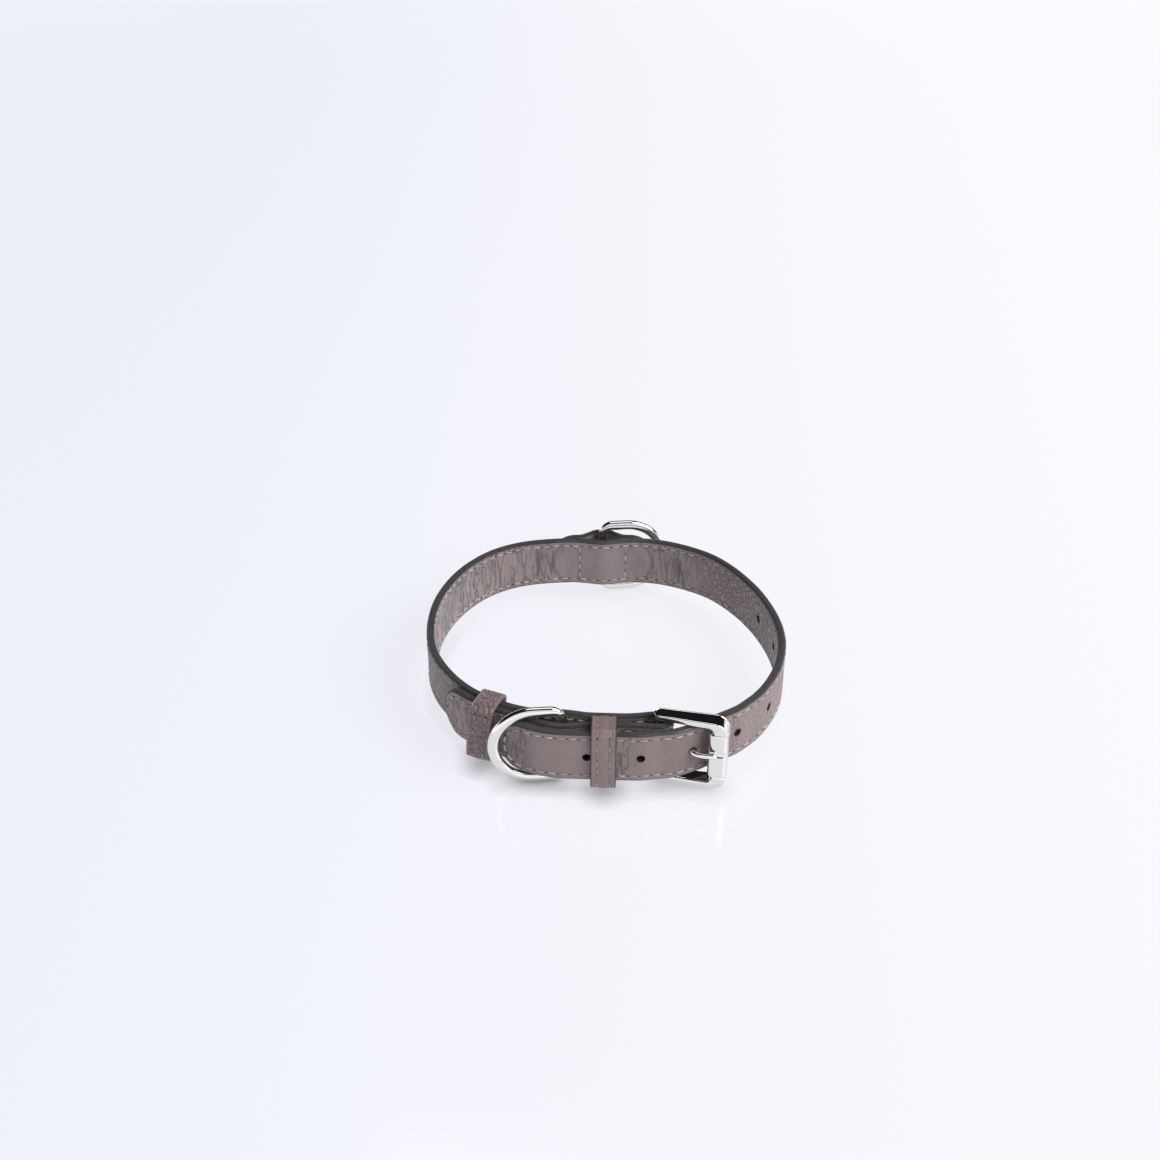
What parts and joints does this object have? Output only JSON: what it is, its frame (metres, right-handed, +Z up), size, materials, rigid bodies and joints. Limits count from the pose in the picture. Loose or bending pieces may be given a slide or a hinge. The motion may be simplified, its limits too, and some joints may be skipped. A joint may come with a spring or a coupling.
{
  "type": "dog collar",
  "caption": "Narrow leather dog collar, stitched along both edges and fastened by a chromed pin buckle, with a D ring in front and one at the back.",
  "frame": {"origin": "middle of the collar on the surface that it stands on", "axes": "+Z up, along the strap's width; -Y towards the buckle side, the front; +X towards the buckle's outer bar"},
  "size_m": [0.1292, 0.1286, 0.0318],
  "materials": {
    "leather": "taupe grained leather with dark painted edges, satin",
    "chrome": "polished chrome plate",
    "thread": "pale waxed stitching thread"
  },
  "bodies": {
    "collar": {"strap": "leather", "back_patch": "leather", "front_keeper": "leather", "side_keeper": "leather", "buckle_frame": "chrome", "prong": "chrome"},
    "front_d_ring": {"front_ring": "chrome"},
    "back_d_ring": {"back_ring": "chrome"}
  },
  "joints": [
    {"name": "front_ring_swing", "type": "hinge", "parent": "collar", "child": "front_d_ring", "pos_m": [-0.01507, -0.05436, 0.016], "axis": [0, 0, 1], "range_deg": [-2, 120]},
    {"name": "back_ring_swing", "type": "hinge", "parent": "collar", "child": "back_d_ring", "pos_m": [-0.0003, 0.05999, 0.016], "axis": [0, 0, 1], "range_deg": [-7, 170]}
  ]
}
